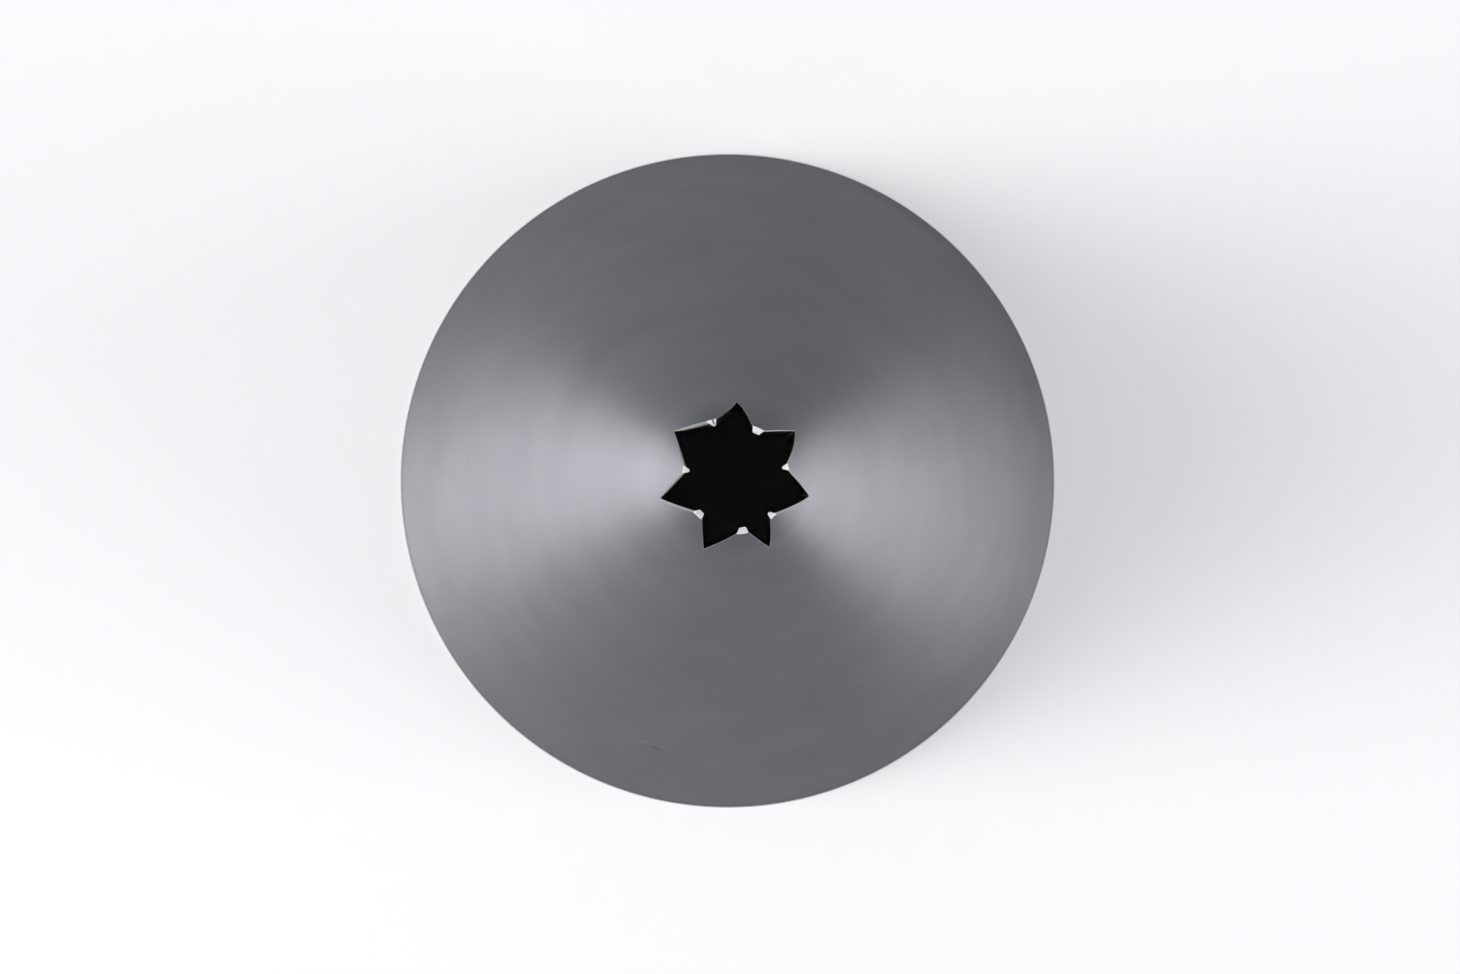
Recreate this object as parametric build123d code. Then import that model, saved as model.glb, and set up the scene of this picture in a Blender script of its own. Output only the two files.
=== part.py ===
from build123d import *
from math import acos, asin, atan2, cos, hypot, radians, sin
import os

# A star piping nozzle, drawn from one disc of stainless steel sheet: a thin cone, open at both
# ends, whose small end is notched and whose teeth are then pressed inwards. It stands on its wide
# rim, with the origin at the rim's centre and +Z along the axis, towards the star.

# Driving sizes of the cone, in millimetres
base_radius = 17.0  # outside, at the wide rim
overall_height = 50.0  # from the rim to the outer edge of the longest tooth
sheet = 0.35  # thickness of the wall
rim_break = 0.06  # radius on both edges of the rim, where the burr is taken off

# Driving sizes of the star mouth
mouth_radius = 2.4  # outside, at the end of the longest tooth
press_radius = 7.1  # outside radius of the curve along which the teeth are pressed in
press_angle = 38.8  # lean of the longest tooth's end from the axis, in degrees
notch_length = 2.4  # along the outside, from that end down to the root of a notch
notch_root = 0.06  # width of a notch at its root
tooth_width = 0.5  # across a tooth's end, in the middle of the sheet

# The star is finished by hand, so no two notches or teeth are quite alike. Azimuths are in
# degrees, from +X towards +Y. Tooth number n stands just before notch number n.
notch_azimuths = (38.0, 88.5, 142.0, 195.0, 246.5, 297.0, 346.5)
tooth_azimuths = (12.0, 64.5, 112.5, 170.0, 224.5, 277.5, 316.0)
tooth_width_shares = (0.65, 1.05, 1.1, 0.75, 1.0, 1.1, 0.75)
tooth_length_shares = (0.925, 0.895, 0.66, 1.0, 0.98, 0.89, 0.935)  # of the notch length

# How far each tooth's two flanks swell into their notches between root and end, first the flank
# before the tooth, then the one after it. 0 is a straight flank, and a negative one is hollow.
flank_swell_shares = (
    (0.15, -0.25),
    (0.25, -0.15),
    (0.8, 0.55),
    (0.4, 0.4),
    (0.2, 0.25),
    (0.25, 0.05),
    (0.0, 0.1),
)

# How far every cutter runs past the metal that it cuts
overrun = 0.5
sections = 7  # cross-sections that shape the flanks of a notch

# The meridian of the outside is a straight line, tangent to the press curve
lean_end = radians(press_angle)
curve_x = mouth_radius - press_radius * cos(lean_end)
curve_z = overall_height - press_radius * sin(lean_end)
reach = hypot(base_radius - curve_x, curve_z)
lean_cone = acos(press_radius / reach) - atan2(curve_z, base_radius - curve_x)
lean_root = lean_end - notch_length / press_radius
inner_curve = press_radius - sheet
middle_curve = press_radius - sheet / 2


def on_curve(radius, lean):
    """The point of the meridian plane at this radius from the press curve's centre."""
    return (curve_x + radius * cos(lean), curve_z + radius * sin(lean))


def lean_at(share):
    """The wall's lean at a share of the way from the notch roots to the longest tooth's end."""
    return lean_root + (lean_end - lean_root) * share


def cone_wall():
    """The drawn cone with its pressed end, before the notches are cut."""
    inner_base = base_radius - sheet / cos(lean_cone)
    half_way = (lean_cone + lean_end) / 2
    outline = [
        Line((base_radius, 0), on_curve(press_radius, lean_cone)),
        ThreePointArc(
            on_curve(press_radius, lean_cone),
            on_curve(press_radius, half_way),
            on_curve(press_radius, lean_end),
        ),
        Line(on_curve(press_radius, lean_end), on_curve(inner_curve, lean_end)),
        ThreePointArc(
            on_curve(inner_curve, lean_end),
            on_curve(inner_curve, half_way),
            on_curve(inner_curve, lean_cone),
        ),
        Line(on_curve(inner_curve, lean_cone), (inner_base, 0)),
        Line((inner_base, 0), (base_radius, 0)),
    ]
    section = make_face(outline)
    rim_corners = section.vertices().group_by(Axis.Y)[0]
    section = fillet(rim_corners, radius=min(rim_break, sheet / 3))
    return revolve(Plane.XZ * section, axis=Axis.Z)


def fan_section(lean, right, left):
    """A slice across the wall, square to it, from right to left of the cutter's own azimuth."""
    near_x, near_z = on_curve(inner_curve - overrun, lean)
    far_x, far_z = on_curve(press_radius + overrun, lean)
    corners = [
        (near_x, -right, near_z),
        (far_x, -right, far_z),
        (far_x, left, far_z),
        (near_x, left, near_z),
    ]
    return make_face(Polyline(*corners, close=True))


def flank_half_width(notch, tooth, share):
    """How far a notch's flank beside this tooth stands from the notch's own azimuth."""
    length = tooth_length_shares[tooth]
    end_radius = on_curve(middle_curve, lean_at(length))[0]
    half_tooth = tooth_width * tooth_width_shares[tooth] / 2
    apart = abs((tooth_azimuths[tooth] - notch_azimuths[notch] + 180) % 360 - 180)
    end_half = end_radius * sin(radians(apart) - asin(half_tooth / end_radius))
    before, after = flank_swell_shares[tooth]
    swell = after if tooth == notch else before
    along = share / length
    widening = along * (1 - swell * (1 - along))
    return notch_root / 2 + (end_half - notch_root / 2) * widening


def notch_cutter(number):
    """A V whose flanks are square to the sheet, from its root to past the tooth ends."""
    after = (number + 1) % len(tooth_azimuths)
    past_end = 1 + overrun / notch_length
    slices = []
    for step in range(sections):
        share = past_end * step / (sections - 1)
        right = flank_half_width(number, number, share)
        left = flank_half_width(number, after, share)
        slices.append(fan_section(lean_at(share), right, left))
    return Rot(0, 0, notch_azimuths[number]) * loft(slices)


def tooth_trim(tooth):
    """What takes the end off a shorter tooth, square to the sheet."""
    cover = tooth_width * tooth_width_shares[tooth]
    start = fan_section(lean_at(tooth_length_shares[tooth]), cover, cover)
    stop = fan_section(lean_at(1 + overrun / notch_length), cover, cover)
    return Rot(0, 0, tooth_azimuths[tooth]) * loft([start, stop], ruled=True)


def star_nozzle():
    """The whole nozzle, one sheet."""
    nozzle = cone_wall()
    for number in range(len(notch_azimuths)):
        nozzle -= notch_cutter(number)
    for tooth, length in enumerate(tooth_length_shares):
        if length < 1:
            nozzle -= tooth_trim(tooth)
    return nozzle


os.makedirs("parts", exist_ok=True)
export_step(star_nozzle(), "parts/star_nozzle.step")
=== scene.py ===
"""A star piping nozzle of brushed stainless steel, standing on its wide rim on a pale floor."""

from math import acos, asin, atan2, cos, hypot, pi, radians, sin, sqrt, tan

import bmesh
import bpy
from mathutils import Matrix, Vector


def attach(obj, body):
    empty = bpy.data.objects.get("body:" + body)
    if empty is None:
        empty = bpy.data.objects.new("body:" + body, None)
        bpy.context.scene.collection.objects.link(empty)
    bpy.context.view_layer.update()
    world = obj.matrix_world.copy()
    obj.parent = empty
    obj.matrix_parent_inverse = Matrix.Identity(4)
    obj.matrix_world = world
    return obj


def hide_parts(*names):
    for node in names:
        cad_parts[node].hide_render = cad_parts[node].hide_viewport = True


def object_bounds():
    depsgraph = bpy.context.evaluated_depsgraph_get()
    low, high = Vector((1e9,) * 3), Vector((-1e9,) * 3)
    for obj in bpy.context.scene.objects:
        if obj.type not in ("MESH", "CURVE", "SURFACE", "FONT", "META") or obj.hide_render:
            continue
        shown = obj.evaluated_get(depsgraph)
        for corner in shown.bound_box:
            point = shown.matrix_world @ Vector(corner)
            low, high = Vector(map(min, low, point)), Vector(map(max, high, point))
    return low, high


bl_info = {
    "name": "Star piping nozzle",
    "version": (1, 0, 0),
    "blender": (4, 5, 0),
    "location": "View3D > Sidebar > Piping nozzle",
    "description": "A pressed star nozzle of brushed stainless steel, on a pale floor",
    "category": "Add Mesh",
}

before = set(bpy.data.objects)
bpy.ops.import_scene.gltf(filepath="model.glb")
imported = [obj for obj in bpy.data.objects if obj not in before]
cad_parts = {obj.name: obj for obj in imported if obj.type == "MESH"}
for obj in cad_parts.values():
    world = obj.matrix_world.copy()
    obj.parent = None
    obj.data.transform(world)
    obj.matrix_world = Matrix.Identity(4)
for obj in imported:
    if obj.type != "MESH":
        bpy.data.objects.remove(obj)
cad_low, cad_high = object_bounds()

MM = 0.001

# The star is finished by hand, so no two notches or teeth are quite alike. Azimuths are in
# degrees, from +X towards +Y. Tooth number n stands just before notch number n.
NOTCH_AZIMUTHS = (38.0, 88.5, 142.0, 195.0, 246.5, 297.0, 346.5)
TOOTH_AZIMUTHS = (12.0, 64.5, 112.5, 170.0, 224.5, 277.5, 316.0)
TOOTH_WIDTH_SHARES = (0.65, 1.05, 1.1, 0.75, 1.0, 1.1, 0.75)
TOOTH_LENGTH_SHARES = (0.925, 0.895, 0.66, 1.0, 0.98, 0.89, 0.935)
# How far each tooth's two flanks swell into their notches between root and end, first the flank
# before the tooth, then the one after it. 0 is a straight flank, and a negative one is hollow.
FLANK_SWELL_SHARES = (
    (0.15, -0.25),
    (0.25, -0.15),
    (0.8, 0.55),
    (0.4, 0.4),
    (0.2, 0.25),
    (0.25, 0.05),
    (0.0, 0.1),
)
# The shortest tooth has a small nick in its end, with its middle at this share of the way across
NICKED_TOOTH = 2
NICK_ACROSS_SHARE = 0.42
# Share of a tooth corner's radius, next to the flank, left out of the tooth end's painted highlight
UNHIGHLIGHTED_CORNER_SHARE = 0.3

# How widely the outer edges of each tooth's two flanks were rubbed down by hand, as shares of the
# plain break, in the same order
FLANK_BREAK_SHARES = (
    (1.2, 0.8),
    (1.0, 0.3),
    (0.3, 3.2),
    (2.2, 2.0),
    (1.8, 0.3),
    (0.3, 0.3),
    (0.3, 1.8),
)
# A notch's root is hardly rubbed, and the middle of a tooth's end keeps the plain break. The two
# reaches are shares of a tooth's length and width over which the break changes to the flank's own.
ROOT_BREAK_SHARE = 0.3
ROOT_REACH_SHARE = 0.75
CORNER_REACH_SHARE = 0.25

# Heights of the cone's rings below the notches, as shares of the height of the notches' roots
RING_HEIGHT_SHARES = (
    *(0.985, 0.965, 0.93, 0.88, 0.82, 0.74, 0.65, 0.56),
    *(0.47, 0.38, 0.29, 0.2, 0.12, 0.06, 0.02, 0.006),
)
# The teeth's uneven spacing settles to an even one over this share of the way down
SETTLE_SHARE = 0.6
# Faces round a rounded edge
ROUNDING_STEPS = 4
# Rounds of closing in on a flank's azimuth
CLOSING_ROUNDS = 5

# Small marks of use on the outside: azimuth, height, length, slant from level, half width, tone
SMALL_MARKS = (
    (radians(254.7), 10.4 * MM, 0.5 * MM, radians(-40), 0.1 * MM, 0.6),
    (radians(251.8), 10.9 * MM, 0.08 * MM, 0.0, 0.16 * MM, 1.3),
    (radians(13.7), 26.2 * MM, 0.05 * MM, 0.0, 0.12 * MM, 0.75),
    (radians(176.4), 13.8 * MM, 0.06 * MM, 0.0, 0.12 * MM, 0.8),
)

# Sizes of the brush lines, of the clouds on them and of bare metal's grain
COARSE_BRUSH_LINE = 0.5 * MM
FINE_BRUSH_LINE = 0.09 * MM
CLOUD = 4 * MM
BARE_GRAIN = 0.05 * MM
# Drawn lines up the inside: their length, and how many there are in each radian round the axis
DRAWN_LINE = 15 * MM
DRAWN_LINES_ROUND = 45.0
# Depths of the fine brush lines and of the drawn lines
BRUSHED_DEPTH = 0.0004 * MM
DRAWN_DEPTH = 0.002 * MM
# Fibres of the card in each metre
CARD_FIBRES = 900.0

# The darkest and the lightest tone that each of them gives
COARSE_BRUSH_TONES = (0.99, 1.01)
CLOUD_TONES = (0.96, 1.04)
DRAWN_TONES = (0.93, 1.07)
BARE_TONES = (0.97, 1.03)
CARD_TONES = (0.995, 1.005)

# Roughness of the drawn inside, from its smoothest to its roughest, and how far the brushed
# outside's roughness goes to either side of its own
DRAWN_ROUGHNESSES = (0.38, 0.5)
BRUSHED_ROUGHNESS_SPREAD = 0.02

# Most of a noise's values lie between these two
NOISE_LOW = 0.3
NOISE_HIGH = 0.7
# A quarter turn draws a reflection out across the brush lines, so along the cone
ACROSS_THE_LINES = 0.25

# Cut edges: name, colour, roughness and depth of the grain. One has painted shade at the notches'
# roots.
# The tooth ends' near-white colour is partly a painted highlight.
BARE_EDGES = (
    ("rubbed_edge", "rubbed_colour", 0.8, 0.002 * MM),
    ("punched_flank", "flank_colour", 0.2, 0.0003 * MM),
    ("trimmed_end", "end_highlight_colour", 0.95, 0.003 * MM),
    ("trimmed_rim", "rim_colour", 0.45, 0.001 * MM),
)
PAINTED_SHADE_EDGE = "punched_flank"

# Lamps: name, azimuth, distance from the axis, height of the middle, width, length and tilt. The
# two panels lie on the card and face up.
LAMPS = (
    ("left_softbox", radians(186), 280 * MM, 350 * MM, 160 * MM, 400 * MM, radians(20)),
    ("right_softbox", radians(-12), 450 * MM, 307 * MM, 346 * MM, 100 * MM, radians(60)),
    ("left_panel", radians(163), 249 * MM, 3 * MM, 100 * MM, 160 * MM, radians(-90)),
    ("right_panel", radians(-5), 259 * MM, 3 * MM, 310 * MM, 156 * MM, radians(-90)),
)

# The card that the nozzle stands on: radius of its flat part, shares of it where rings of the mesh
# lie, width and lift of the bent edge, rings up the bend, sides of each ring, and finish
CARD_FLAT = 0.7
CARD_FLAT_SHARES = (0.05, 0.2, 0.5, 1.0)
CARD_BEND = 0.3
CARD_LIFT = 0.12
CARD_BEND_STEPS = 8
CARD_SIDES = 96
CARD_ROUGHNESS = 0.9
CARD_SHINE = 0.1
# The card's glow fades out just inside the nozzle's foot, down to this share of its radius
FOOT_SHARE = 0.98

# Width of the camera's film, in millimetres, and the nearest and farthest that it sees
FILM_WIDTH = 36.0
CLIP_START = 10 * MM
CLIP_END = 100.0


class NozzleSizes(bpy.types.PropertyGroup):
    """Sizes of the drawn and pressed sheet."""

    base_radius: bpy.props.FloatProperty(
        name="Base radius",
        description="Outside radius at the wide rim",
        default=17.0 * MM,
        unit="LENGTH",
    )
    overall_height: bpy.props.FloatProperty(
        name="Height",
        description="From the rim to the outer edge of the longest tooth",
        default=cad_high.z,
        unit="LENGTH",
    )
    sheet: bpy.props.FloatProperty(
        name="Sheet",
        description="Thickness of the wall",
        default=0.35 * MM,
        unit="LENGTH",
    )
    rim_break: bpy.props.FloatProperty(
        name="Rim break",
        description="Radius on both edges of the wide rim",
        default=0.06 * MM,
        unit="LENGTH",
    )
    cut_break: bpy.props.FloatProperty(
        name="Cut break",
        description="Radius of the plain break on the outer edges of the notches and teeth",
        default=0.045 * MM,
        unit="LENGTH",
    )
    inner_break: bpy.props.FloatProperty(
        name="Inner break",
        description="Radius on the inner edges of the notches and teeth",
        default=0.015 * MM,
        unit="LENGTH",
    )
    end_corner: bpy.props.FloatProperty(
        name="Tooth corner",
        description="Radius on the two corners of each tooth's end",
        default=0.06 * MM,
        unit="LENGTH",
    )
    mouth_radius: bpy.props.FloatProperty(
        name="Mouth radius",
        description="Outside radius at the end of the longest tooth",
        default=2.4 * MM,
        unit="LENGTH",
    )
    press_radius: bpy.props.FloatProperty(
        name="Press radius",
        description="Outside radius of the curve along which the teeth are pressed in",
        default=7.1 * MM,
        unit="LENGTH",
    )
    press_angle: bpy.props.FloatProperty(
        name="Press angle",
        description="Lean of the longest tooth's end from the axis",
        default=radians(38.8),
        unit="ROTATION",
    )
    notch_length: bpy.props.FloatProperty(
        name="Notch length",
        description="Along the outside, from the longest tooth's end down to a notch's root",
        default=2.4 * MM,
        unit="LENGTH",
    )
    notch_root: bpy.props.FloatProperty(
        name="Notch root",
        description="Width of a notch at its root",
        default=0.02 * MM,
        unit="LENGTH",
    )
    tooth_width: bpy.props.FloatProperty(
        name="Tooth width",
        description="Across a plain tooth's end, in the middle of the sheet",
        default=0.5 * MM,
        unit="LENGTH",
    )
    nick_depth: bpy.props.FloatProperty(
        name="Nick",
        description="Depth of the small nick in the end of the shortest tooth",
        default=0.1 * MM,
        unit="LENGTH",
    )
    nick_width: bpy.props.FloatProperty(
        name="Nick width",
        description="Width of the nick",
        default=0.11 * MM,
        unit="LENGTH",
    )
    tooth_columns: bpy.props.IntProperty(
        name="Columns",
        description="Faces across each tooth",
        default=32,
    )
    tooth_rows: bpy.props.IntProperty(
        name="Rows",
        description="Faces along each tooth",
        default=24,
    )


class SteelFinish(bpy.types.PropertyGroup):
    """Colours and finish of the steel."""

    steel_colour: bpy.props.FloatVectorProperty(
        name="Steel",
        description="Colour of the brushed steel, looked at squarely",
        subtype="COLOR",
        default=(0.292, 0.295, 0.314),
    )
    grazing_share: bpy.props.FloatProperty(
        name="Grazing share",
        description="How much of its shine the satin surface keeps when it is seen at a slant",
        default=0.3,
        subtype="FACTOR",
    )
    brushed_roughness: bpy.props.FloatProperty(
        name="Brushed roughness",
        description="Roughness of the brushed outside",
        default=0.606,
        subtype="FACTOR",
    )
    brushed_stretch: bpy.props.FloatProperty(
        name="Brushed stretch",
        description="How far the brush lines draw a reflection out along the cone",
        default=0.904,
        subtype="FACTOR",
    )
    # The outside's colour is darker in a thin band at the rim, next to the floor, fading out by the
    # rim line's height.
    rim_line_tone: bpy.props.FloatProperty(
        name="Rim line",
        description="Tone of the darker line that trimming leaves round the wide rim",
        default=0.8,
        subtype="FACTOR",
    )
    rim_line_height: bpy.props.FloatProperty(
        name="Rim line height",
        description="Height at which that line ends",
        default=0.7 * MM,
        unit="LENGTH",
    )
    inside_colour: bpy.props.FloatVectorProperty(
        name="Inside",
        description="Colour of the inside, left as it was drawn",
        subtype="COLOR",
        default=(0.29, 0.29, 0.293),
    )
    rim_colour: bpy.props.FloatVectorProperty(
        name="Rim",
        description="Colour of the wide rim's trimmed edge",
        subtype="COLOR",
        default=(0.44, 0.44, 0.44),
    )
    # Partly a painted highlight: the bare trimmed ends get a near-white colour that stands in for
    # the glint they catch from the lamps.
    end_highlight_colour: bpy.props.FloatVectorProperty(
        name="Tooth ends",
        description="Colour of the bare grainy ends of the teeth, where the sheet was trimmed",
        subtype="COLOR",
        default=(0.94, 0.94, 0.93),
    )
    rubbed_colour: bpy.props.FloatVectorProperty(
        name="Rubbed edges",
        description="Colour of the outer edges of the notches, rubbed down by hand",
        subtype="COLOR",
        default=(0.42, 0.418, 0.414),
    )
    flank_colour: bpy.props.FloatVectorProperty(
        name="Notch flanks",
        description="Colour of the punched flanks of the notches",
        subtype="COLOR",
        default=(0.36, 0.355, 0.35),
    )
    # Painted shade: the flanks' colour is darkened at the notch roots, in the crease where shade
    # falls, fading out over the height below.
    painted_root_shade_tone: bpy.props.FloatProperty(
        name="Root shade",
        description="Tone of the flanks at the roots of the notches, where nothing rubs them clean",
        default=0.15,
        subtype="FACTOR",
    )
    painted_root_shade_height: bpy.props.FloatProperty(
        name="Root shade height",
        description="How far up from the roots that shade fades out",
        default=0.5 * MM,
        unit="LENGTH",
    )


class StudioLight(bpy.types.PropertyGroup):
    """Floor, lamps and camera."""

    floor_colour: bpy.props.FloatVectorProperty(
        name="Floor",
        description="Colour of the plain floor",
        subtype="COLOR",
        default=(0.9, 0.9, 0.9),
    )
    floor_glow: bpy.props.FloatProperty(
        name="Floor glow",
        description="How much whiter the card shows to the camera and in metal than it is lit",
        default=0.22,
    )
    room_colour: bpy.props.FloatVectorProperty(
        name="Room",
        description="Colour of the dim room around the lamps",
        subtype="COLOR",
        default=(0.97, 0.99, 1.06),
    )
    room: bpy.props.FloatProperty(
        name="Room light",
        description="Brightness of the dim room around the lamps",
        default=0.388,
    )
    dim_side: bpy.props.FloatProperty(
        name="Dim side",
        description="Azimuth of the side on which the room is dimmest",
        default=radians(52),
        unit="ROTATION",
    )
    dim_share: bpy.props.FloatProperty(
        name="Dim share",
        description="How bright the room is at its dimmest, as a share of its brightness elsewhere",
        default=0.62,
        subtype="FACTOR",
    )
    left_softbox: bpy.props.FloatProperty(
        name="Left softbox",
        description="Brightness of the softbox on the left",
        default=6.1,
    )
    right_softbox: bpy.props.FloatProperty(
        name="Right softbox",
        description="Brightness of the softbox on the right",
        default=7.5,
    )
    left_panel: bpy.props.FloatProperty(
        name="Left panel",
        description="Brightness of the light panel that lies on the left",
        default=20.5,
    )
    right_panel: bpy.props.FloatProperty(
        name="Right panel",
        description="Brightness of the light panel that lies on the right",
        default=20.3,
    )
    camera_place: bpy.props.FloatVectorProperty(
        name="Camera",
        description="Place of the camera, above the tip",
        subtype="TRANSLATION",
        unit="LENGTH",
        default=(-3.03 * MM, -1.05 * MM, 450.0 * MM),
    )
    camera_aim: bpy.props.FloatVectorProperty(
        name="Aim",
        description="The point on the floor that the camera looks at",
        subtype="TRANSLATION",
        unit="LENGTH",
        default=(0.127 * MM, -0.32 * MM, 0.0),
    )
    camera_lens: bpy.props.FloatProperty(
        name="Lens",
        description="Focal length of the camera, in millimetres",
        default=213.6,
    )


def round_axis(azimuth, radius, height):
    """The point at this azimuth, radius and height."""
    return Vector((radius * cos(azimuth), radius * sin(azimuth), height))


class Wall:
    """The sheet as it is drawn and pressed. Depth is measured into it from the outside."""

    def __init__(self, sizes):
        self.sizes = sizes
        self.lean_end = sizes.press_angle
        self.curve_x = sizes.mouth_radius - sizes.press_radius * cos(self.lean_end)
        self.curve_z = sizes.overall_height - sizes.press_radius * sin(self.lean_end)
        reach = hypot(sizes.base_radius - self.curve_x, self.curve_z)
        slope = atan2(self.curve_z, sizes.base_radius - self.curve_x)
        self.lean_cone = acos(sizes.press_radius / reach) - slope
        self.lean_root = self.lean_end - sizes.notch_length / sizes.press_radius

    def on_curve(self, depth, lean):
        """Radius and height of the sheet where the press curve has this lean."""
        radius = self.sizes.press_radius - depth
        return self.curve_x + radius * cos(lean), self.curve_z + radius * sin(lean)

    def on_cone(self, depth, height):
        """Radius of the straight cone at a height."""
        tangent_radius, tangent_height = self.on_curve(depth, self.lean_cone)
        return tangent_radius + (tangent_height - height) * tan(self.lean_cone)

    def lean_at(self, share):
        """The lean at a share of the way from the notch roots to the longest tooth's end."""
        return self.lean_root + (self.lean_end - self.lean_root) * share

    def share_at(self, lean):
        """The share of that way at which the wall has this lean."""
        return (lean - self.lean_root) / (self.lean_end - self.lean_root)

    def flank_half_width(self, notch, tooth, share):
        """How far a notch's flank beside this tooth stands from the notch's own azimuth."""
        sizes = self.sizes
        length = TOOTH_LENGTH_SHARES[tooth]
        end_radius = self.on_curve(sizes.sheet / 2, self.lean_at(length))[0]
        half_tooth = sizes.tooth_width * TOOTH_WIDTH_SHARES[tooth] / 2
        apart = abs((TOOTH_AZIMUTHS[tooth] - NOTCH_AZIMUTHS[notch] + 180) % 360 - 180)
        end_half = end_radius * sin(radians(apart) - asin(half_tooth / end_radius))
        half_root = sizes.notch_root / 2
        before, after = FLANK_SWELL_SHARES[tooth]
        swell = after if tooth == notch else before
        along = share / length
        return half_root + (end_half - half_root) * along * (1 - swell * (1 - along))

    def flank_turn(self, notch, tooth, lean, depth, inset):
        """The flank's azimuth from its notch, on a cut that is square to the sheet."""
        radius, height = self.on_curve(depth, lean)
        turn = 0.0
        for _ in range(CLOSING_ROUNDS):
            cut_lean = atan2(height - self.curve_z, radius * cos(turn) - self.curve_x)
            half_width = self.flank_half_width(notch, tooth, self.share_at(cut_lean)) + inset
            turn = asin(half_width / radius)
        return turn

    def break_share(self, tooth, along, across):
        """How widely the outer edge is rubbed down here, as a share of the plain break."""
        before, after = FLANK_BREAK_SHARES[tooth]
        flank = before if across < 0.5 else after
        from_root = min(1.0, along / ROOT_REACH_SHARE)
        flank = ROOT_BREAK_SHARE + (flank - ROOT_BREAK_SHARE) * from_root
        to_corner = max(0.0, 1 - min(across, 1 - across) / CORNER_REACH_SHARE)
        return 1 + (flank - 1) * to_corner

    def end_setback(self, tooth, across):
        """How far a tooth's end stays back, for its rounded corners and the one nick."""
        sizes = self.sizes
        width = sizes.tooth_width * TOOTH_WIDTH_SHARES[tooth]
        to_flank = min(across, 1 - across) * width
        corner = max(0.0, sizes.end_corner - to_flank)
        setback = sizes.end_corner - sqrt(sizes.end_corner**2 - corner**2)
        if tooth == NICKED_TOOTH:
            setback += sizes.nick_depth * max(0.0, 1 - self.from_nick(across) ** 2)
        return setback

    def from_nick(self, across):
        """How far this place is from the nick's middle, as a share of the nick's half width."""
        width = self.sizes.tooth_width * TOOTH_WIDTH_SHARES[NICKED_TOOTH]
        return abs(across - NICK_ACROSS_SHARE) * width / (self.sizes.nick_width / 2)

    def has_end_highlight(self, tooth, across):
        """Whether a tooth's end gets its painted highlight here, as it does away from its corners
        and its nick.
        """
        width = self.sizes.tooth_width * TOOTH_WIDTH_SHARES[tooth]
        to_flank = min(across, 1 - across) * width
        in_nick = tooth == NICKED_TOOTH and self.from_nick(across) < 1
        return to_flank > self.sizes.end_corner * UNHIGHLIGHTED_CORNER_SHARE and not in_nick

    def on_tooth(self, tooth, along, across, inset, depth, rubbed):
        """A point of a tooth: along it from root to end, and across it from flank to flank."""
        sizes = self.sizes
        before = after = here = root = 1.0
        if rubbed:
            root = ROOT_BREAK_SHARE
            before = self.break_share(tooth, along, 0.0)
            after = self.break_share(tooth, along, 1.0)
            here = self.break_share(tooth, along, across)
            depth *= here
        first = self.lean_root - inset * root / sizes.press_radius
        setback = inset * here + self.end_setback(tooth, across)
        last = self.lean_at(TOOTH_LENGTH_SHARES[tooth]) - setback / sizes.press_radius
        lean = first + (last - first) * along
        start = radians(NOTCH_AZIMUTHS[tooth - 1])
        start += self.flank_turn(tooth - 1, tooth, lean, depth, inset * before)
        stop = radians(NOTCH_AZIMUTHS[tooth])
        stop -= self.flank_turn(tooth, tooth, lean, depth, inset * after)
        if stop < start:
            stop += 2 * pi
        azimuth = start + (stop - start) * across
        radius, height = self.on_curve(depth, lean)
        return azimuth, radius, height


def corner_profile(radius):
    """Inset and depth of points round the corner of a cut edge, from the surface to the cut."""
    turns = [pi / 2 * step / ROUNDING_STEPS for step in range(ROUNDING_STEPS + 1)]
    return [(radius * (1 - sin(turn)), radius * (1 - cos(turn))) for turn in turns]


def rounded_corner(corner, before, after, radius):
    """Points of the arc that rounds a corner of the meridian section."""
    corner, before, after = Vector(corner), Vector(before), Vector(after)
    back = (before - corner).normalized()
    onwards = (after - corner).normalized()
    half = back.angle(onwards) / 2
    centre = corner + (back + onwards).normalized() * radius / sin(half)
    start = corner + back * radius / tan(half) - centre
    stop = corner + onwards * radius / tan(half) - centre
    points = []
    for step in range(ROUNDING_STEPS + 1):
        share = step / ROUNDING_STEPS
        points.append(centre + (start * (1 - share) + stop * share).normalized() * radius)
    return points


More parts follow.
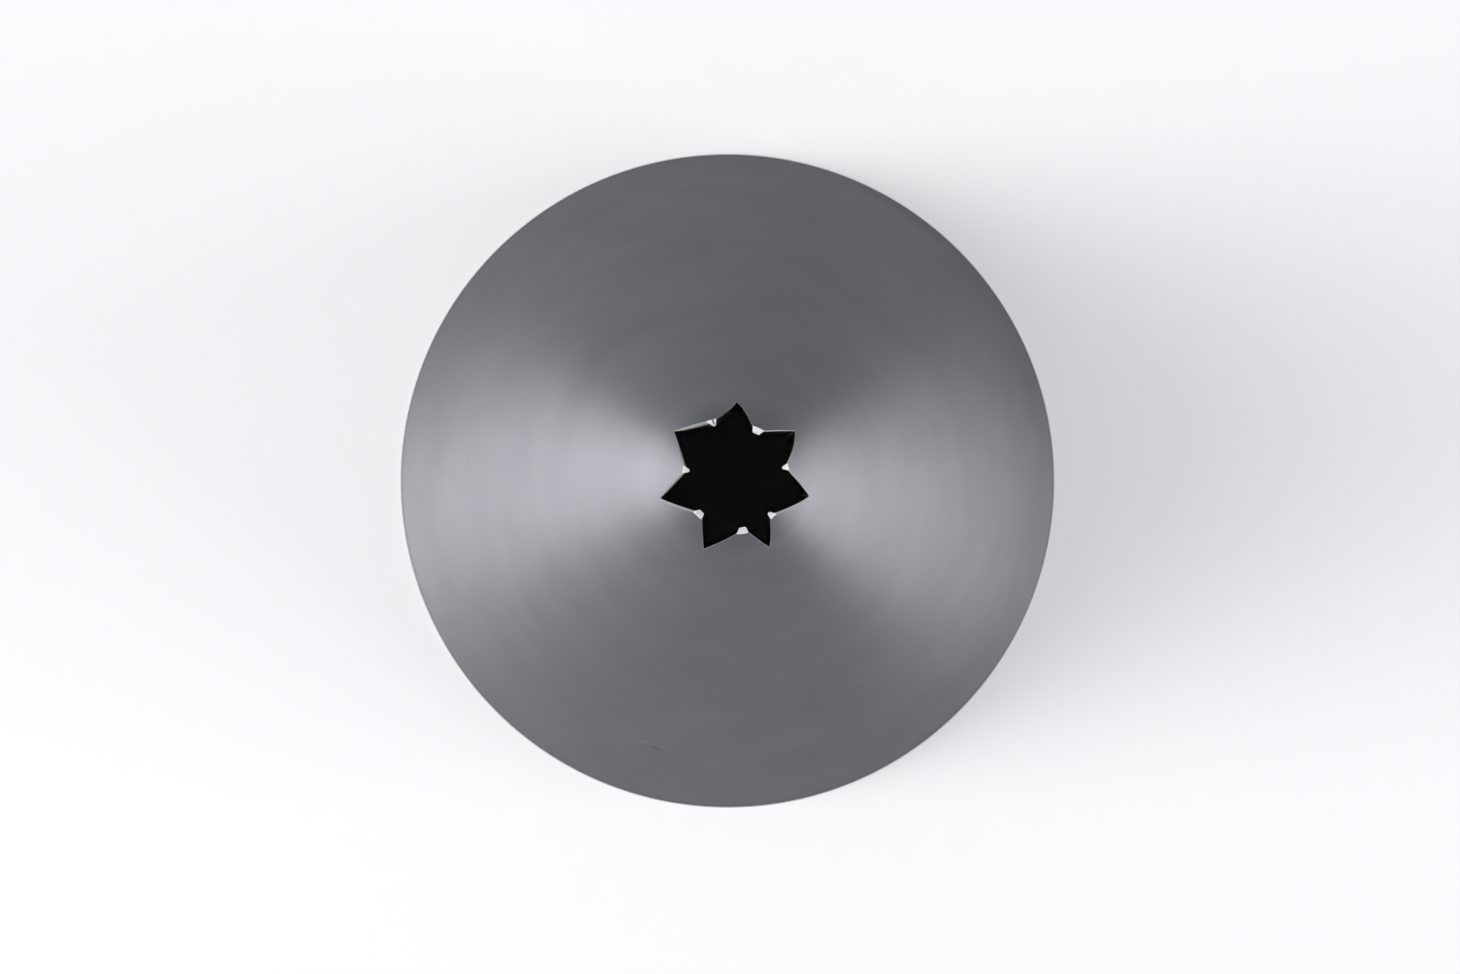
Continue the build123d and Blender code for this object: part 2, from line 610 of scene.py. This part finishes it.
class Sheet:
    """Builds the nozzle's mesh, one closed skin of rings and patches that share vertices."""

    # Finishes, in the order of the mesh's materials. The one for the tooth ends carries a painted
    # highlight.
    OUTSIDE, INSIDE, RUBBED, FLANK, END, RIM = range(6)

    def __init__(self, sizes):
        self.sizes = sizes
        self.wall = Wall(sizes)
        self.mesh = bmesh.new()
        self.teeth = range(len(TOOTH_AZIMUTHS))
        self.columns = sizes.tooth_columns
        self.rows = sizes.tooth_rows

    def vertex(self, azimuth, radius, height):
        """A new vertex at this place round the axis."""
        return self.mesh.verts.new(round_axis(azimuth, radius, height))

    def strip(self, first, second, finishes, closed=True):
        """Faces between two lines of vertices, of one finish or of one for each face."""
        count = len(first)
        for here in range(count if closed else count - 1):
            there = (here + 1) % count
            face = self.mesh.faces.new((first[here], first[there], second[there], second[here]))
            face.material_index = finishes if isinstance(finishes, int) else finishes[here]
            face.smooth = True

    def tooth_grid(self, tooth, inset, depth, rubbed):
        """Rows of vertices over one tooth, from its root to its end."""
        grid = []
        for row in range(self.rows + 1):
            line = []
            for column in range(self.columns + 1):
                place = self.wall.on_tooth(
                    tooth, row / self.rows, column / self.columns, inset, depth, rubbed
                )
                line.append(self.vertex(*place))
            grid.append(line)
        return grid

    def tooth_border(self, tooth, inset, depth, rubbed):
        """The vertices up one flank, over the end and down the other flank."""
        places = [(row / self.rows, 0.0) for row in range(self.rows)]
        places += [(1.0, column / self.columns) for column in range(self.columns + 1)]
        places += [(row / self.rows, 1.0) for row in reversed(range(self.rows))]
        return [
            self.vertex(*self.wall.on_tooth(tooth, along, across, inset, depth, rubbed))
            for along, across in places
        ]

    def grid_border(self, grid):
        """The vertices along a grid's border, in the order of a tooth's border."""
        up = [line[0] for line in grid[:-1]]
        down = [line[-1] for line in reversed(grid[:-1])]
        return up + list(grid[-1]) + down

    def skin(self, depth, finish):
        """One surface of the sheet: the teeth and the cone under them, down to the rim's corner."""
        rubbed = finish == self.OUTSIDE
        inset = self.sizes.cut_break if rubbed else self.sizes.inner_break
        grids = [self.tooth_grid(tooth, inset, depth, rubbed) for tooth in self.teeth]
        for grid in grids:
            for lower, upper in zip(grid, grid[1:]):
                self.strip(lower, upper, finish, closed=False)
        border = [vertex for grid in grids for vertex in self.grid_border(grid)]
        top = [vertex for grid in grids for vertex in grid[0]]
        azimuths = [atan2(vertex.co.y, vertex.co.x) for vertex in top]
        steady = self.steady_azimuths(azimuths)
        root_height = top[0].co.z
        above = top
        for share in RING_HEIGHT_SHARES:
            height = root_height * share
            settle = min(1.0, (1 - share) / SETTLE_SHARE)
            settle = settle * settle * (3 - 2 * settle)
            radius = self.wall.on_cone(depth, height)
            ring = []
            for own, even in zip(azimuths, steady):
                apart = (even - own + pi) % (2 * pi) - pi
                ring.append(self.vertex(own + apart * settle, radius, height))
            self.strip(ring, above, finish)
            above = ring
        return border, above, steady

    def steady_azimuths(self, azimuths):
        """Evenly spaced azimuths, as near as they can be to these."""
        count = len(azimuths)
        pitch = 2 * pi / count
        turned = [
            (azimuth - number * pitch - azimuths[0] + pi) % (2 * pi) - pi
            for number, azimuth in enumerate(azimuths)
        ]
        shift = azimuths[0] + sum(turned) / count
        return [shift + number * pitch for number in range(count)]

    def border(self, inset, depth, rubbed):
        """One line round all teeth and notches."""
        return [
            vertex
            for tooth in self.teeth
            for vertex in self.tooth_border(tooth, inset, depth, rubbed)
        ]

    def mouth(self, outer_border, inner_border):
        """The cut edge that runs round all teeth and notches."""
        rubbed = self.mouth_finishes(self.RUBBED)
        bare = self.mouth_finishes(self.FLANK)
        previous = outer_border
        for inset, depth in corner_profile(self.sizes.cut_break)[1:]:
            line = self.border(inset, depth, True)
            self.strip(previous, line, rubbed)
            previous = line
        for inset, depth in reversed(corner_profile(self.sizes.inner_break)[1:]):
            line = self.border(inset, self.sizes.sheet - depth, False)
            self.strip(previous, line, bare)
            previous = line
        self.strip(previous, inner_border, bare)

    def mouth_finishes(self, flank):
        """The finish of each face along a line round the mouth."""
        finishes = []
        for tooth in self.teeth:
            finishes += [flank] * self.rows
            for column in range(self.columns):
                # A tooth end's faces take the painted highlight, except at its corners and its
                # nick.
                has_end_highlight = self.wall.has_end_highlight(tooth, (column + 0.5) / self.columns)
                finishes.append(self.END if has_end_highlight else flank)
            finishes += [flank] * (self.rows + 1)
        return finishes

    def rim(self, outer_ring, inner_ring, azimuths):
        """The wide end's edge, with both corners rounded."""
        sizes = self.sizes
        wall = self.wall
        outer_base = (sizes.base_radius, 0.0)
        inner_base = (wall.on_cone(sizes.sheet, 0.0), 0.0)
        outer_above = (wall.on_cone(0.0, sizes.sheet), sizes.sheet)
        inner_above = (wall.on_cone(sizes.sheet, sizes.sheet), sizes.sheet)
        section = rounded_corner(outer_base, outer_above, inner_base, sizes.rim_break)
        section += rounded_corner(inner_base, outer_base, inner_above, sizes.rim_break)
        previous = outer_ring
        for radius, height in section:
            ring = [self.vertex(azimuth, radius, height) for azimuth in azimuths]
            self.strip(ring, previous, self.RIM)
            previous = ring
        self.strip(inner_ring, previous, self.RIM)

    def build(self, name):
        """The whole mesh, as data of this name."""
        outer_border, outer_ring, azimuths = self.skin(0.0, self.OUTSIDE)
        inner_border, inner_ring, _ = self.skin(self.sizes.sheet, self.INSIDE)
        self.mouth(outer_border, inner_border)
        self.rim(outer_ring, inner_ring, azimuths)
        bmesh.ops.recalc_face_normals(self.mesh, faces=self.mesh.faces)
        data = bpy.data.meshes.new(name)
        self.mesh.to_mesh(data)
        self.mesh.free()
        return data


def add_node(tree, kind, inputs=None, **settings):
    """A shader node. An input is a plain value, or another node's output to link."""
    node = tree.nodes.new(kind)
    for name, value in settings.items():
        setattr(node, name, value)
    for name, value in (inputs or {}).items():
        if isinstance(value, bpy.types.NodeSocket):
            tree.links.new(value, node.inputs[name])
        else:
            node.inputs[name].default_value = value
    return node


def new_material(name):
    """A material with no nodes yet, and its node tree."""
    material = bpy.data.materials.new(name)
    material.use_nodes = True
    material.node_tree.nodes.clear()
    return material, material.node_tree


def noise(tree, vector, scale=1.0, detail=2.0):
    """A value that varies smoothly from place to place, about a half."""
    node = add_node(
        tree, "ShaderNodeTexNoise", {"Vector": vector, "Scale": scale, "Detail": detail}
    )
    return node.outputs["Fac"]


def bumped(tree, height, depth):
    """The surface's direction where this height makes it uneven by this depth."""
    node = add_node(
        tree, "ShaderNodeBump", {"Strength": 1.0, "Distance": depth, "Height": height}
    )
    return node.outputs[0]


def calculated(tree, operation, first, second):
    """The number that this operation makes of two others."""
    node = add_node(tree, "ShaderNodeMath", {0: first, 1: second}, operation=operation)
    return node.outputs[0]


def scaled(tree, vector, by):
    """The vector or colour, so many times as long or as light."""
    node = add_node(tree, "ShaderNodeVectorMath", {0: vector, "Scale": by}, operation="SCALE")
    return node.outputs[0]


def wall_coordinates(tree, place, lines_round, line_pitch):
    """Coordinates that grow by so many lines a radian round the axis and by one a pitch upwards."""
    split = add_node(tree, "ShaderNodeSeparateXYZ", {"Vector": place}).outputs
    flat = add_node(tree, "ShaderNodeCombineXYZ", {"X": split["X"], "Y": split["Y"]})
    outwards = add_node(tree, "ShaderNodeVectorMath", {0: flat.outputs[0]}, operation="NORMALIZE")
    turned = scaled(tree, outwards.outputs[0], lines_round)
    lines = calculated(tree, "DIVIDE", split["Z"], line_pitch)
    raised = add_node(tree, "ShaderNodeCombineXYZ", {"Z": lines}).outputs[0]
    both = add_node(tree, "ShaderNodeVectorMath", {0: turned, 1: raised}, operation="ADD")
    return both.outputs[0]


def spread(tree, value, low, high):
    """A noise value, about a half, spread from low to high."""
    node = add_node(
        tree,
        "ShaderNodeMapRange",
        {
            "Value": value,
            "From Min": NOISE_LOW,
            "From Max": NOISE_HIGH,
            "To Min": low,
            "To Max": high,
        },
    )
    return node.outputs["Result"]


def product(tree, *values):
    """All these values multiplied together."""
    total = values[0]
    for value in values[1:]:
        total = calculated(tree, "MULTIPLY", total, value)
    return total


def height_tone(tree, place, low, high, tone):
    """This tone below the low height, and 1 above the high one."""
    height = add_node(tree, "ShaderNodeSeparateXYZ", {"Vector": place}).outputs["Z"]
    fade = add_node(
        tree,
        "ShaderNodeMapRange",
        {"Value": height, "From Min": low, "From Max": high, "To Min": tone, "To Max": 1.0},
    )
    return fade.outputs["Result"]


def mark_tone(tree, place, wall, mark):
    """The tone of one small mark, a short stroke on the cone, and 1 away from it."""
    azimuth, height, length, slant, half_width, tone = mark
    radius = wall.on_cone(0.0, height)
    lean = wall.lean_cone
    centre = round_axis(azimuth, radius, height)
    level = Vector((-sin(azimuth), cos(azimuth), 0))
    upwards = Vector((-sin(lean) * cos(azimuth), -sin(lean) * sin(azimuth), cos(lean)))
    stroke = level * cos(slant) + upwards * sin(slant)
    apart = add_node(tree, "ShaderNodeVectorMath", {0: place, 1: centre}, operation="SUBTRACT")
    reach = add_node(
        tree, "ShaderNodeVectorMath", {0: apart.outputs[0], 1: stroke}, operation="DOT_PRODUCT"
    )
    held = add_node(
        tree,
        "ShaderNodeClamp",
        {"Value": reach.outputs["Value"], "Min": -length / 2, "Max": length / 2},
    )
    nearest = scaled(tree, stroke, held.outputs[0])
    gap = add_node(
        tree, "ShaderNodeVectorMath", {0: apart.outputs[0], 1: nearest}, operation="DISTANCE"
    )
    shown = add_node(
        tree,
        "ShaderNodeMapRange",
        {
            "Value": gap.outputs["Value"],
            "From Min": half_width / 2,
            "From Max": half_width,
            "To Min": tone,
            "To Max": 1.0,
        },
    )
    return shown.outputs["Result"]


def brushed_steel(finish, wall):
    """Satin steel, brushed round the axis, so that lamps show as wedges from the tip to the rim."""
    material, tree = new_material("brushed_steel")
    place = add_node(tree, "ShaderNodeTexCoord").outputs["Object"]
    coarse = noise(tree, wall_coordinates(tree, place, 1.0, COARSE_BRUSH_LINE), detail=3.0)
    fine = noise(tree, wall_coordinates(tree, place, 1.0, FINE_BRUSH_LINE))
    clouds = noise(tree, place, 1 / CLOUD, detail=3.0)
    line_top = finish.rim_line_height
    tone = product(
        tree,
        spread(tree, coarse, *COARSE_BRUSH_TONES),
        spread(tree, clouds, *CLOUD_TONES),
        height_tone(tree, place, line_top / 2, line_top, finish.rim_line_tone),
        *[mark_tone(tree, place, wall, mark) for mark in SMALL_MARKS],
    )
    roughness = spread(
        tree,
        fine,
        finish.brushed_roughness - BRUSHED_ROUGHNESS_SPREAD,
        finish.brushed_roughness + BRUSHED_ROUGHNESS_SPREAD,
    )
    tangent = add_node(tree, "ShaderNodeTangent", direction_type="RADIAL", axis="Z")
    tint = (finish.grazing_share, finish.grazing_share, finish.grazing_share, 1.0)
    shader = add_node(
        tree,
        "ShaderNodeBsdfPrincipled",
        {
            "Base Color": scaled(tree, finish.steel_colour, tone),
            "Metallic": 1.0,
            "Roughness": roughness,
            "Specular Tint": tint,
            "Anisotropic": finish.brushed_stretch,
            "Anisotropic Rotation": ACROSS_THE_LINES,
            "Tangent": tangent.outputs[0],
            "Normal": bumped(tree, fine, BRUSHED_DEPTH),
        },
    )
    add_node(tree, "ShaderNodeOutputMaterial", {"Surface": shader.outputs[0]})
    return material


def drawn_steel(finish):
    """Steel left as it was drawn, with faint lines that run from the rim to the star."""
    material, tree = new_material("drawn_steel")
    place = add_node(tree, "ShaderNodeTexCoord").outputs["Object"]
    along = wall_coordinates(tree, place, DRAWN_LINES_ROUND, DRAWN_LINE)
    lines = noise(tree, along, detail=4.0)
    tone = spread(tree, lines, *DRAWN_TONES)
    shader = add_node(
        tree,
        "ShaderNodeBsdfPrincipled",
        {
            "Base Color": scaled(tree, finish.inside_colour, tone),
            "Metallic": 1.0,
            "Roughness": spread(tree, lines, *DRAWN_ROUGHNESSES),
            "Normal": bumped(tree, lines, DRAWN_DEPTH),
        },
    )
    add_node(tree, "ShaderNodeOutputMaterial", {"Surface": shader.outputs[0]})
    return material


def bare_edge(name, colour, roughness, grain_depth, *painted_shades):
    """Bare metal of a cut edge, finely grained. Each painted shade is two heights and a tone that
    darkens the colour below them.
    """
    material, tree = new_material(name)
    place = add_node(tree, "ShaderNodeTexCoord").outputs["Object"]
    grain = noise(tree, place, 1 / BARE_GRAIN)
    tone = product(
        tree,
        spread(tree, grain, *BARE_TONES),
        *[height_tone(tree, place, *shade) for shade in painted_shades],
    )
    shader = add_node(
        tree,
        "ShaderNodeBsdfPrincipled",
        {
            "Base Color": scaled(tree, colour, tone),
            "Metallic": 1.0,
            "Roughness": roughness,
            "Normal": bumped(tree, grain, grain_depth),
        },
    )
    add_node(tree, "ShaderNodeOutputMaterial", {"Surface": shader.outputs[0]})
    return material


def pale_card(light, foot_radius):
    """Plain card, whiter to the camera and the metal than it is lit, but not under the foot."""
    material, tree = new_material("pale_card")
    place = add_node(tree, "ShaderNodeTexCoord").outputs["Object"]
    fibre = noise(tree, place, CARD_FIBRES)
    colour = scaled(tree, light.floor_colour, spread(tree, fibre, *CARD_TONES))
    shader = add_node(
        tree,
        "ShaderNodeBsdfPrincipled",
        {"Base Color": colour, "Roughness": CARD_ROUGHNESS, "Specular IOR Level": CARD_SHINE},
    )
    from_axis = add_node(tree, "ShaderNodeVectorMath", {0: place}, operation="LENGTH")
    beside = add_node(
        tree,
        "ShaderNodeMapRange",
        {
            "Value": from_axis.outputs["Value"],
            "From Min": FOOT_SHARE * foot_radius,
            "From Max": foot_radius,
        },
    )
    path = add_node(tree, "ShaderNodeLightPath").outputs
    seen = calculated(tree, "ADD", path["Is Camera Ray"], path["Is Glossy Ray"])
    seen = calculated(tree, "ADD", seen, path["Is Transmission Ray"])
    strength = product(tree, seen, beside.outputs["Result"], light.floor_glow)
    glow = add_node(tree, "ShaderNodeEmission", {"Strength": strength})
    both = add_node(tree, "ShaderNodeAddShader", {0: shader.outputs[0], 1: glow.outputs[0]})
    add_node(tree, "ShaderNodeOutputMaterial", {"Surface": both.outputs[0]})
    return material


def dim_room(light):
    """The room around the lamps, of one brightness on one side and dimming towards the other."""
    world = bpy.data.worlds.new("room")
    world.use_nodes = True
    tree = world.node_tree
    away = add_node(tree, "ShaderNodeTexCoord").outputs["Generated"]
    side = Vector((cos(light.dim_side), sin(light.dim_side), 0))
    towards = add_node(tree, "ShaderNodeVectorMath", {0: away, 1: side}, operation="DOT_PRODUCT")
    strength = add_node(
        tree,
        "ShaderNodeMapRange",
        {
            "Value": towards.outputs["Value"],
            "To Min": light.room,
            "To Max": light.room * light.dim_share,
        },
    )
    background = tree.nodes["Background"]
    background.inputs["Color"].default_value = (*light.room_colour, 1.0)
    tree.links.new(strength.outputs["Result"], background.inputs["Strength"])
    return world


def aimed(place, aim, upright):
    """The placing of something that looks from one point at another."""
    backward = (place - aim).normalized()
    right = upright.cross(backward).normalized()
    up = backward.cross(right)
    turn = Matrix((right, up, backward)).transposed().to_4x4()
    return Matrix.Translation(place) @ turn


def hang_softbox(name, azimuth, distance, height, width, length, tilt, brightness):
    """A rectangular softbox beside the nozzle, leaning over it by its tilt from upright."""
    outwards = Vector((cos(azimuth), sin(azimuth), 0))
    sideways = Vector((-sin(azimuth), cos(azimuth), 0))
    upright = Vector((0, 0, 1))
    along = upright * cos(tilt) - outwards * sin(tilt)
    back = outwards * cos(tilt) + upright * sin(tilt)
    data = bpy.data.lights.new(name, "AREA")
    data.shape = "RECTANGLE"
    data.size = width
    data.size_y = length
    data.energy = brightness * pi * width * length
    lamp = bpy.data.objects.new(name, data)
    turn = Matrix((sideways, along, back)).transposed().to_4x4()
    lamp.matrix_world = Matrix.Translation(outwards * distance + upright * height) @ turn
    lamp.visible_camera = False
    bpy.context.scene.collection.objects.link(lamp)


class NOZZLE_OT_star_nozzle(bpy.types.Operator):
    """Builds the nozzle's one pressed sheet and gives it its finishes"""

    bl_idname = "nozzle.star_nozzle"
    bl_label = "Star nozzle"

    def execute(self, context):
        finish = context.scene.steel_finish
        sheet = Sheet(context.scene.nozzle_sizes)
        data = sheet.build("star_nozzle_sheet")
        # The punched flanks take painted shade at the notch roots: their colour darkens from the
        # root height up to the shade's top.
        _, root_height = sheet.wall.on_curve(0.0, sheet.wall.lean_root)
        shade_top = root_height + finish.painted_root_shade_height
        painted_root_shade = (root_height, shade_top, finish.painted_root_shade_tone)
        data.materials.append(brushed_steel(finish, sheet.wall))
        data.materials.append(drawn_steel(finish))
        for name, colour, roughness, grain_depth in BARE_EDGES:
            painted_shades = [painted_root_shade] if name == PAINTED_SHADE_EDGE else []
            edge = bare_edge(name, getattr(finish, colour), roughness, grain_depth, *painted_shades)
            data.materials.append(edge)
        nozzle = bpy.data.objects.new("star_nozzle_sheet", data)
        context.scene.collection.objects.link(nozzle)
        nozzle.modifiers.new("weighted_normals", "WEIGHTED_NORMAL")
        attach(nozzle, "root")
        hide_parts("star_nozzle")
        return {"FINISHED"}


class NOZZLE_OT_stage(bpy.types.Operator):
    """Lays the floor, hangs the lamps and sets up the camera"""

    bl_idname = "nozzle.stage"
    bl_label = "Stage"

    def execute(self, context):
        light = context.scene.studio_light
        self.lay_floor(context, light)
        self.hang_lamps(context, light)
        self.place_camera(context, light)
        return {"FINISHED"}

    def lay_floor(self, context, light):
        """A round card with its edge curved up, so that low views have it behind the nozzle too."""
        profile = [(CARD_FLAT * share, 0.0) for share in CARD_FLAT_SHARES]
        for step in range(1, CARD_BEND_STEPS + 1):
            turn = pi / 2 * step / CARD_BEND_STEPS
            profile.append((CARD_FLAT + CARD_BEND * sin(turn), CARD_LIFT * (1 - cos(turn))))
        mesh = bmesh.new()
        rings = []
        for radius, height in profile:
            ring = []
            for side in range(CARD_SIDES):
                azimuth = 2 * pi * side / CARD_SIDES
                ring.append(mesh.verts.new(round_axis(azimuth, radius, height)))
            rings.append(ring)
        mesh.faces.new(rings[0])
        for inner, outer in zip(rings, rings[1:]):
            for here in range(CARD_SIDES):
                there = (here + 1) % CARD_SIDES
                mesh.faces.new((inner[here], outer[here], outer[there], inner[there]))
        for face in mesh.faces:
            face.smooth = True
        data = bpy.data.meshes.new("card")
        mesh.to_mesh(data)
        mesh.free()
        data.materials.append(pale_card(light, context.scene.nozzle_sizes.base_radius))
        card = bpy.data.objects.new("card", data)
        context.scene.collection.objects.link(card)

    def hang_lamps(self, context, light):
        for name, *placing in LAMPS:
            hang_softbox(name, *placing, getattr(light, name))
        context.scene.world = dim_room(light)
        context.scene.view_settings.view_transform = "Standard"

    def place_camera(self, context, light):
        data = bpy.data.cameras.new("camera")
        data.lens = light.camera_lens
        data.sensor_width = FILM_WIDTH
        data.clip_start = CLIP_START
        data.clip_end = CLIP_END
        camera = bpy.data.objects.new("camera", data)
        camera.matrix_world = aimed(
            Vector(light.camera_place), Vector(light.camera_aim), Vector((0, 1, 0))
        )
        context.scene.collection.objects.link(camera)
        context.scene.camera = camera


class NOZZLE_PT_panel(bpy.types.Panel):
    """Lists the pieces and their sizes"""

    bl_idname = "NOZZLE_PT_panel"
    bl_label = "Piping nozzle"
    bl_space_type = "VIEW_3D"
    bl_region_type = "UI"
    bl_category = "Piping nozzle"

    def draw(self, context):
        scene = context.scene
        for group in (scene.nozzle_sizes, scene.steel_finish, scene.studio_light):
            box = self.layout.box()
            for name in group.__annotations__:
                box.prop(group, name)
        self.layout.operator(NOZZLE_OT_star_nozzle.bl_idname)
        self.layout.operator(NOZZLE_OT_stage.bl_idname)


CLASSES = (
    NozzleSizes,
    SteelFinish,
    StudioLight,
    NOZZLE_OT_star_nozzle,
    NOZZLE_OT_stage,
    NOZZLE_PT_panel,
)


def register():
    for each in CLASSES:
        bpy.utils.register_class(each)
    bpy.types.Scene.nozzle_sizes = bpy.props.PointerProperty(type=NozzleSizes)
    bpy.types.Scene.steel_finish = bpy.props.PointerProperty(type=SteelFinish)
    bpy.types.Scene.studio_light = bpy.props.PointerProperty(type=StudioLight)


def unregister():
    del bpy.types.Scene.studio_light
    del bpy.types.Scene.steel_finish
    del bpy.types.Scene.nozzle_sizes
    for each in reversed(CLASSES):
        bpy.utils.unregister_class(each)


def main():
    register()
    bpy.ops.nozzle.stage()
    bpy.ops.nozzle.star_nozzle()


if __name__ == "__main__":
    main()
